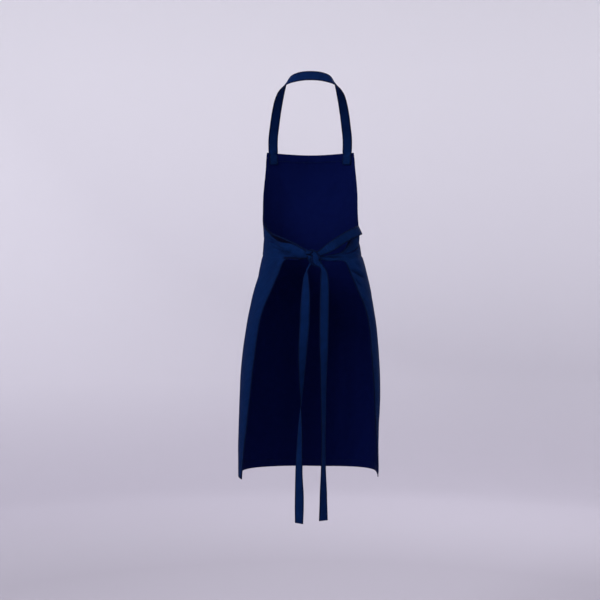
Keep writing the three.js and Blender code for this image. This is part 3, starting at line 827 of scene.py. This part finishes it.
# Stitches along a line of points that lies on a face, each a short rounded thread.
def layStitches(line, normals, points, faces):
    line, normals = np.asarray(line), np.asarray(normals)
    run = lengthsAlong(line)
    count = int(run[-1] / thread["pitch"])
    turn = np.arange(thread["sides"]) * 2 * math.pi / thread["sides"]
    for k in range(count):
        at = (k + 0.5) * run[-1] / count
        ends = [at - thread["length"] / 2, at + thread["length"] / 2]
        a, b = (np.array([np.interp(e, run, line[:, j]) for j in range(3)]) for e in ends)
        normal = unit(np.array([np.interp(at, run, normals[:, j]) for j in range(3)]))
        way = unit(b - a)
        side = unit(np.cross(way, normal))
        lift = normal * thread["proud"]
        start = len(points)
        points.append(a + lift - normal * thread["dip"])
        for share in thread["shoulders"]:
            centre = mix(a, b, share) + lift
            for angle in turn:
                spoke = side * math.cos(angle) + normal * math.sin(angle)
                points.append(centre + thread["radius"] * spoke)
        points.append(b + lift - normal * thread["dip"])
        near, far = start + 1, start + 1 + thread["sides"]
        for j in range(thread["sides"]):
            m = (j + 1) % thread["sides"]
            faces.append((start, near + j, near + m))
            faces.append((near + j, far + j, far + m, near + m))
            faces.append((len(points) - 1, far + m, far + j))


def stitchObject(name, lines):
    points, faces = [], []
    for line, normals in lines:
        layStitches(line, normals, points, faces)
    made = makeObject(name, points, faces)
    print(name, len(faces), "faces")
    return made


# The panel's seam lines are mesh lines, so a stitch sits in the drawn-in cloth.
def panelSeams():
    sideColumn = int(np.argmin(np.abs(sideLines - (panel["sideHem"] - panel["seamInset"]))))
    endRow = int(np.argmin(np.abs(endLines - (panel["endHem"] - panel["seamInset"]))))
    columns = (sideColumn, grid.shape[1] - 1 - sideColumn)
    rows = (endRow, grid.shape[0] - 1 - endRow)
    lines = []
    for face, sign in ((outerGrid, 1), (innerGrid, -1)):
        lines += [(face[:, c], clothOutward[:, c] * sign) for c in columns]
        lines += [(face[r], clothOutward[r] * sign) for r in rows]
    return lines


panelStitches = stitchObject("panel_stitching", panelSeams())


# A box with its two diagonals, sewn through a strap's end, on its outer face and on the cloth.
def sewnEnd(face, facing, first, last, surface):
    low, high = seamColumns
    corners = [(first, low), (last, low), (last, high), (first, high)]
    runs = [(corners[i], corners[(i + 1) % 4]) for i in range(4)]
    runs += [(corners[0], corners[2]), (corners[1], corners[3])]
    lines = []
    for start, end in runs:
        at = np.linspace(0, 1, 12)
        ring = mix(start[0], end[0], at)
        column = mix(start[1], end[1], at)
        i, j = np.floor(ring).astype(int), np.floor(column).astype(int)
        u, v = (ring - i)[:, None], (column - j)[:, None]
        left, right = (mix(face[i, k], face[i + 1, k], u) for k in (j, j + 1))
        line = mix(left, right, v)
        lines.append((line, facing[i]))
        hits = [surface.find_nearest(Vector(p)) for p in line]
        points, outward = (np.array([hit[k] for hit in hits]) for k in (0, 1))
        lines.append((points + outward * thread["offCloth"], outward))
    return lines


def surfaceTree(face):
    rows, columns = face.shape[:2]
    index = np.arange(rows * columns).reshape(rows, columns)
    quads = gridQuads(index, face is innerGrid)
    return BVHTree.FromPolygons([tuple(p) for p in face.reshape(-1, 3)], quads.tolist())


outerTree, innerTree = surfaceTree(outerGrid), surfaceTree(innerGrid)


# The edge seams of a strap, on both faces, left out where it is bunched.
def strapSeams(top, bottom, facing, stations):
    stops = lengthsAlong([s[0] for s in stations])
    at = np.linspace(0, stops[-1], len(top))
    flat = np.interp(at, stops, [s[4] for s in stations]) < strap["crumpled"]
    lines = []
    edges = np.flatnonzero(np.diff(np.concatenate([[0], flat.astype(int), [0]])))
    for first, last in zip(edges[::2], edges[1::2]):
        if last - first < 4:
            continue
        for column in seamColumns:
            lines.append((top[first:last, column], facing[first:last]))
            lines.append((bottom[first:last, column], -facing[first:last]))
    return lines


# Which face of the strap looks away from the cloth at a ring.
def farFace(top, bottom, ring):
    cloth, middle = grid.reshape(-1, 3), len(faceShares) // 2
    gaps = [np.min(np.linalg.norm(cloth - face[ring, middle], axis=1)) for face in (top, bottom)]
    return (top, 1) if gaps[0] > gaps[1] else (bottom, -1)


def strapStitches(name, faces, stations, ends, surface):
    top, bottom, facing = faces
    lines = strapSeams(top, bottom, facing, stations)
    for first, last in ends:
        face, sign = farFace(top, bottom, (first + last) // 2)
        lines += sewnEnd(face, facing * sign, first, last, surface)
    return stitchObject(name, lines)


sewnRings = int(strap["width"] / strap["step"])
firstEnd = (1, sewnRings)
neckLast = len(neckFaces[0]) - 1
neckEnds = (firstEnd, (neckLast - sewnRings, neckLast - 1))
neckStitches = strapStitches("neck_strap_stitching", neckFaces, neckStops, neckEnds, outerTree)
leftStitches = strapStitches("tie_left_stitching", leftFaces, leftStops, (firstEnd,), outerTree)
rightStitches = strapStitches(
    "tie_right_stitching", rightFaces, rightStops, (firstEnd,), innerTree
)


# Materials.
clothLook = {
    "dark": (0.0005, 0.0052, 0.029, 1),
    "light": (0.0014, 0.0120, 0.062, 1),
    "shade": (0.0003, 0.0006, 0.0065, 1),
    # the inside's colour is the wrong side's own tone, darkened with painted shade
    "wrongSideAndShade": (0.0004, 0.0014, 0.030, 1),  # the cloth's inside
    "panelPitch": 0.0013,  # of the twill's ribs
    "strapPitch": 0.0013 * 3.4,
    "roughness": (0.94, 0.78),
    "specular": 0.025,
    "sheen": 0.004,
    "sheenRoughness": 0.45,
    "sheenTint": (0.25, 0.45, 1, 1),
    "bumpDepth": 0.0004,
}
threadLook = {
    "dark": (0.0006, 0.0048, 0.030, 1),
    "light": (0.0022, 0.0130, 0.066, 1),
    "twist": 900,
    "roughness": (0.5, 0.7),
    "specular": 0.12,
}


# Each input, by name or number, takes a value or another node's output.
def fillInputs(tree, node, inputs):
    for label, value in inputs.items():
        if isinstance(value, (int, float, tuple)):
            node.inputs[label].default_value = value
        else:
            tree.links.new(value, node.inputs[label])


def addNode(tree, kind, inputs=None, **settings):
    node = tree.nodes.new(kind)
    for key, value in settings.items():
        setattr(node, key, value)
    fillInputs(tree, node, inputs or {})
    return node


def mathNode(tree, operation, *values):
    return addNode(tree, "ShaderNodeMath", dict(enumerate(values)), operation=operation).outputs[0]


def noiseNode(tree, vector, scale, detail):
    inputs = {"Vector": vector, "Scale": scale, "Detail": detail}
    return addNode(tree, "ShaderNodeTexNoise", inputs).outputs[0]


def stretched(tree, vector, scale):
    return addNode(tree, "ShaderNodeMapping", {"Vector": vector, "Scale": scale}).outputs[0]


def splitVector(tree, vector):
    return tuple(addNode(tree, "ShaderNodeSeparateXYZ", {0: vector}).outputs)


def mapRange(tree, value, source=(0, 1), target=(0, 1)):
    names = ("From Min", "From Max", "To Min", "To Max")
    inputs = {"Value": value, **dict(zip(names, (*source, *target)))}
    return addNode(tree, "ShaderNodeMapRange", inputs).outputs[0]


def mixColours(tree, factor, a, b):
    inputs = {"Factor": factor, "A": a, "B": b}
    return addNode(tree, "ShaderNodeMix", inputs, data_type="RGBA").outputs["Result"]


def newMaterial(name):
    material = bpy.data.materials.new(name)
    material.use_nodes = True
    return material, material.node_tree, material.node_tree.nodes["Principled BSDF"]


# Twill ribs and uneven threads from flat cloth coordinates in metres.
def weaveGroup():
    tree = bpy.data.node_groups.new("twillWeave", "ShaderNodeTree")
    for name, way, kind in (
        ("Vector", "INPUT", "Vector"), ("Pitch", "INPUT", "Float"), ("Ribs", "INPUT", "Float"),
        ("Height", "OUTPUT", "Float"), ("Shade", "OUTPUT", "Float"),
    ):
        tree.interface.new_socket(name, in_out=way, socket_type="NodeSocket" + kind)
    start, end = addNode(tree, "NodeGroupInput"), addNode(tree, "NodeGroupOutput")
    flat = start.outputs["Vector"]

    def times(a, b):
        return mathNode(tree, "MULTIPLY", a, b)

    def plus(a, b):
        return mathNode(tree, "ADD", a, b)

    def wave(value):
        return mathNode(tree, "SINE", times(value, turns))

    u, v = splitVector(tree, flat)[:2]
    turns = mathNode(tree, "DIVIDE", 2 * math.pi, start.outputs["Pitch"])
    ribs = wave(plus(u, times(v, 0.8)))
    crossed = times(wave(times(v, 1.7)), wave(times(u, 1.3)))
    weave = plus(times(ribs, start.outputs["Ribs"]), times(crossed, 0.35))
    warp = noiseNode(tree, stretched(tree, flat, (700, 60, 1)), 1, 3)
    weft = noiseNode(tree, stretched(tree, flat, (50, 600, 1)), 1, 3)
    patches = noiseNode(tree, flat, 55, 5)
    uneven = plus(warp, weft)
    shade = plus(plus(times(weave, 0.16), times(uneven, 0.42)), times(patches, 0.9))
    shade = mathNode(tree, "SUBTRACT", shade, 0.38)
    fillInputs(tree, end, {"Height": plus(times(weave, 0.5), uneven), "Shade": shade})
    return tree


twillWeave = weaveGroup()


def clothMaterial(name, pitch, ribs, bumpStrength):
    material, tree, shader = newMaterial(name)
    place = addNode(tree, "ShaderNodeUVMap", uv_map="clothUV").outputs["UV"]
    group = addNode(tree, "ShaderNodeGroup", node_tree=twillWeave)
    fillInputs(tree, group, {"Vector": place, "Pitch": pitch, "Ribs": ribs})
    shade, height = group.outputs["Shade"], group.outputs["Height"]
    colour = mixColours(tree, shade, clothLook["dark"], clothLook["light"])
    # the inside's tone with its painted shade, then the painted shade of edges, seams, hollows and
    # crevices
    for label in ("wrongSideAndShade", "shade"):
        amount = addNode(tree, "ShaderNodeAttribute", attribute_name=label).outputs["Fac"]
        colour = mixColours(tree, amount, colour, clothLook[label])
    bump = {"Strength": bumpStrength, "Distance": clothLook["bumpDepth"], "Height": height}
    fillInputs(tree, shader, {
        "Base Color": colour,
        "Roughness": mapRange(tree, shade, target=clothLook["roughness"]),
        "Normal": addNode(tree, "ShaderNodeBump", bump).outputs[0],
        "Specular IOR Level": clothLook["specular"],
        "Sheen Weight": clothLook["sheen"],
        "Sheen Roughness": clothLook["sheenRoughness"],
        "Sheen Tint": clothLook["sheenTint"],
    })
    return material


panelTwill = clothMaterial("navy panel twill", clothLook["panelPitch"], 0.5, 0.55)
strapTwill = clothMaterial("navy strap twill", clothLook["strapPitch"], 1.8, 0.9)


def threadMaterial():
    material, tree, shader = newMaterial("navy sewing thread")
    place = addNode(tree, "ShaderNodeTexCoord").outputs["Object"]
    twist = noiseNode(tree, place, threadLook["twist"], 2)
    fillInputs(tree, shader, {
        "Base Color": mixColours(tree, twist, threadLook["dark"], threadLook["light"]),
        "Roughness": mapRange(tree, twist, target=threadLook["roughness"]),
        "Specular IOR Level": threadLook["specular"],
    })
    return material


sewingThread = threadMaterial()


# What each piece is made of and stands for.
for piece, stitches, material, node, slotName in (
    (apronCloth, panelStitches, panelTwill, "apron_panel", "panel_cloth"),
    (neckCloth, neckStitches, strapTwill, "neck_strap", "strap_cloth"),
    (leftTie, leftStitches, strapTwill, "waist_tie_left", "strap_cloth"),
    (rightTie, rightStitches, strapTwill, "waist_tie_right", "strap_cloth"),
):
    piece.data.materials.append(material)
    stitches.data.materials.append(sewingThread)
    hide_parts(node)
    for made in (piece, stitches):
        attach(made, "root")


# Studio.
studio = {
    "floor": -1.72,
    "radius": 5.2,
    "wall": 5.0,
    "bend": 1.6,
    "nearFloor": (0.35, 0.329, 0.385, 1),
    "nearReach": (1.9, 3.4),  # how far out the floor's near tone fades
    # height and colour of the wall, painted lighter upwards as painted light from above
    "paintedLight": [
        (-1.72, (0.465, 0.437, 0.512, 1)),
        (-1.15, (0.675, 0.65, 0.722, 1)),
        (-0.20, (0.85, 0.834, 0.888, 1)),
        (1.10, (0.97, 0.955, 1.0, 1)),
    ],
    # painted shade: the wall's right side is painted a little darker
    "sideShares": (0.945, 1),  # the wall's right side is a little darker
    "sideReach": (-1.6, 1.6),
    "roughness": 0.95,
    "specular": 0.1,
    "air": (0.93, 0.93, 1, 1),
    "airStrength": 0.42,
}
bpy.ops.mesh.primitive_cylinder_add(
    vertices=96, radius=studio["radius"], depth=studio["wall"],
    location=(0, 0, studio["floor"] + studio["wall"] / 2),
)
floor = bpy.context.object
floor.name = "studio_floor"
bpy.ops.object.transform_apply()
bpy.ops.object.mode_set(mode="EDIT")
bpy.ops.mesh.select_mode(type="FACE")
bpy.ops.mesh.select_all(action="DESELECT")
bpy.ops.object.mode_set(mode="OBJECT")
for face in floor.data.polygons:
    face.select = face.normal.z > 0.9
bpy.ops.object.mode_set(mode="EDIT")
bpy.ops.mesh.delete(type="FACE")
bpy.ops.mesh.select_mode(type="EDGE")
bpy.ops.mesh.select_all(action="DESELECT")
bpy.ops.object.mode_set(mode="OBJECT")
lowEdge = studio["floor"] + 0.001
for edge in floor.data.edges:
    edge.select = all(floor.data.vertices[v].co.z < lowEdge for v in edge.vertices)
bpy.ops.object.mode_set(mode="EDIT")
bpy.ops.mesh.bevel(offset=studio["bend"], segments=14, profile=0.5, affect="EDGES")
bpy.ops.mesh.select_all(action="SELECT")
bpy.ops.mesh.flip_normals()
bpy.ops.object.mode_set(mode="OBJECT")
bpy.ops.object.shade_smooth()

wallPaint, wallTree, wallShader = newMaterial("pale studio wall")
wallPlace = addNode(wallTree, "ShaderNodeTexCoord").outputs["Object"]
wallX, wallY, wallZ = splitVector(wallTree, wallPlace)
paintedLightLow, paintedLightHigh = studio["paintedLight"][0][0], studio["paintedLight"][-1][0]
wallRise = mapRange(wallTree, wallZ, (paintedLightLow, paintedLightHigh))
wallRamp = addNode(wallTree, "ShaderNodeValToRGB", {0: wallRise})
wallRamp.color_ramp.interpolation = "B_SPLINE"
for i, (height, paintedLight) in enumerate(studio["paintedLight"]):
    stops = wallRamp.color_ramp.elements
    place = (height - paintedLightLow) / (paintedLightHigh - paintedLightLow)
    stop = stops[0] if i == 0 else stops[-1] if place == 1 else stops.new(place)
    stop.color = paintedLight
wallRound = addNode(wallTree, "ShaderNodeCombineXYZ", {"X": wallX, "Y": wallY}).outputs[0]
wallFar = addNode(wallTree, "ShaderNodeVectorMath", {0: wallRound}, operation="LENGTH")
wallNear = mapRange(wallTree, wallFar.outputs["Value"], studio["nearReach"])
wallTone = mixColours(wallTree, wallNear, studio["nearFloor"], wallRamp.outputs["Color"])
wallSide = mapRange(wallTree, wallX, studio["sideReach"], studio["sideShares"])
wallScale = addNode(
    wallTree, "ShaderNodeVectorMath", {0: wallTone, "Scale": wallSide}, operation="SCALE"
)
fillInputs(wallTree, wallShader, {
    "Base Color": wallScale.outputs[0],
    "Roughness": studio["roughness"],
    "Specular IOR Level": studio["specular"],
})
floor.data.materials.append(wallPaint)

world = bpy.data.worlds.new("studio air")
bpy.context.scene.world = world
world.use_nodes = True
air = world.node_tree.nodes["Background"]
air.inputs["Color"].default_value = studio["air"]
air.inputs["Strength"].default_value = studio["airStrength"]

# Big soft boxes: name, place, what it looks at, size, power.
softBoxes = [
    ("key", (2.3, 2.2, 1.5), (0, 0, -0.55), 1.4, 120),
    ("fill", (-2.4, 2.4, 0.5), (0, 0, -0.6), 2.0, 36),
    ("front", (-1.2, -3.0, 1.5), (0, 0, -0.55), 1.2, 95),
    ("top", (0, 0.3, 2.6), (0, 0, -0.5), 2.4, 40),
]
for name, place, target, size, power in softBoxes:
    bpy.ops.object.light_add(type="AREA", location=place)
    light = bpy.context.object
    light.name = name + "_light"
    light.data.energy = power
    light.data.size = size
    light.rotation_euler = (Vector(target) - Vector(place)).to_track_quat("-Z", "Y").to_euler()
bpy.context.scene.view_settings.view_transform = "Standard"
print("studio lit")
